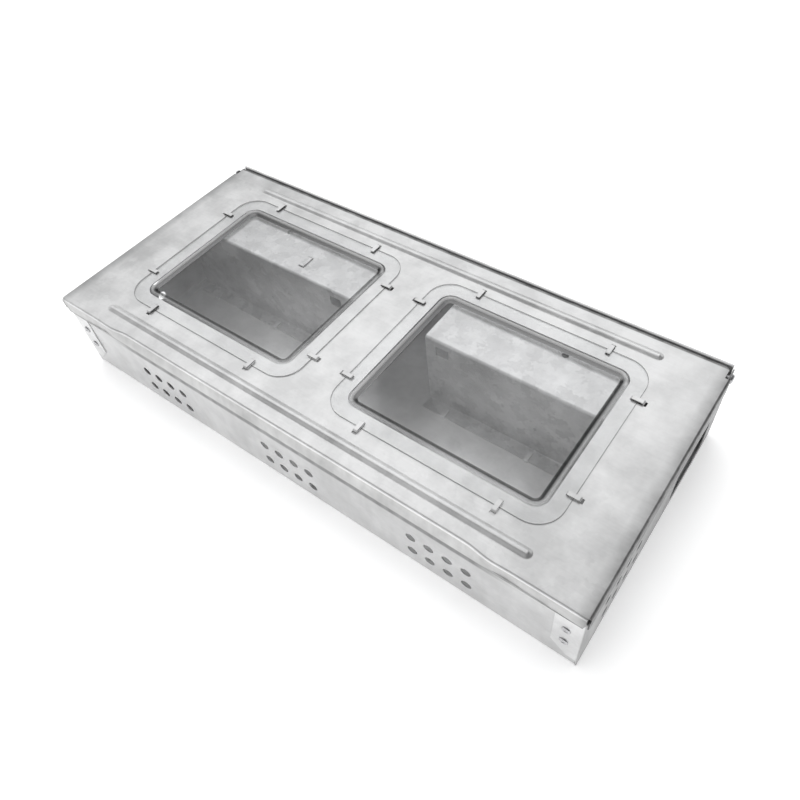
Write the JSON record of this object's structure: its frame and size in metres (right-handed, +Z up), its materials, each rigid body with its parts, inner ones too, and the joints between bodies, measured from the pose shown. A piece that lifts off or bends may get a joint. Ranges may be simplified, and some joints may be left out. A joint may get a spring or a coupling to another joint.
{
  "type": "live catch trap",
  "caption": "Folded-sheet live catch trap with a hinged double-window lid and a tipping treadle in each entry tunnel.",
  "frame": {"origin": "centre of the underside of the floor, midway between the two ends", "axes": "+X along the length to the right seen from the front, +Y from the front wall to the hinge side, +Z up"},
  "size_m": [0.422, 0.1922, 0.0711],
  "materials": {
    "galvanised_tray": "galvanised sheet, bright satin with faint cloudy spangle",
    "galvanised_end": "galvanised sheet, bright satin",
    "galvanised_tunnel": "galvanised sheet, brighter and more mirror-like",
    "galvanised_treadle": "galvanised sheet, satin",
    "galvanised_lid": "galvanised sheet, satin with cloudy spangle",
    "steel_pin": "zinc plated wire, satin",
    "steel_rivet": "zinc plated, formed cold",
    "clear_pane": "clear vacuum-formed sheet, gloss"
  },
  "bodies": {
    "base": {"base_tray": "galvanised_tray", "left_end_wall": "galvanised_end", "right_end_wall": "galvanised_end", "left_tunnel_cover": "galvanised_tunnel", "right_tunnel_cover": "galvanised_tunnel", "left_treadle_pin": "steel_pin", "right_treadle_pin": "steel_pin", "left_hinge_pin": "steel_pin", "right_hinge_pin": "steel_pin", "front_left_upper_rivet": "steel_rivet", "front_left_lower_rivet": "steel_rivet", "front_right_upper_rivet": "steel_rivet", "front_right_lower_rivet": "steel_rivet", "rear_left_upper_rivet": "steel_rivet", "rear_left_lower_rivet": "steel_rivet", "rear_right_upper_rivet": "steel_rivet", "rear_right_lower_rivet": "steel_rivet"},
    "lid": {"lid_panel": "galvanised_lid", "left_window_pane": "clear_pane", "right_window_pane": "clear_pane"},
    "left_treadle": {"left_treadle": "galvanised_treadle"},
    "right_treadle": {"right_treadle": "galvanised_treadle"}
  },
  "joints": [
    {"name": "lid_hinge", "type": "hinge", "parent": "base", "child": "lid", "pos_m": [0, 0.0859, 0.066], "axis": [-1, 0, 0], "range_deg": [0, 110]},
    {"name": "left_treadle_tilt", "type": "hinge", "parent": "base", "child": "left_treadle", "pos_m": [-0.118, 0.0511, 0.0245], "axis": [0, 1, 0], "range_deg": [0, 34]},
    {"name": "right_treadle_tilt", "type": "hinge", "parent": "base", "child": "right_treadle", "pos_m": [0.118, 0.0511, 0.0245], "axis": [0, -1, 0], "range_deg": [0, 34]}
  ]
}
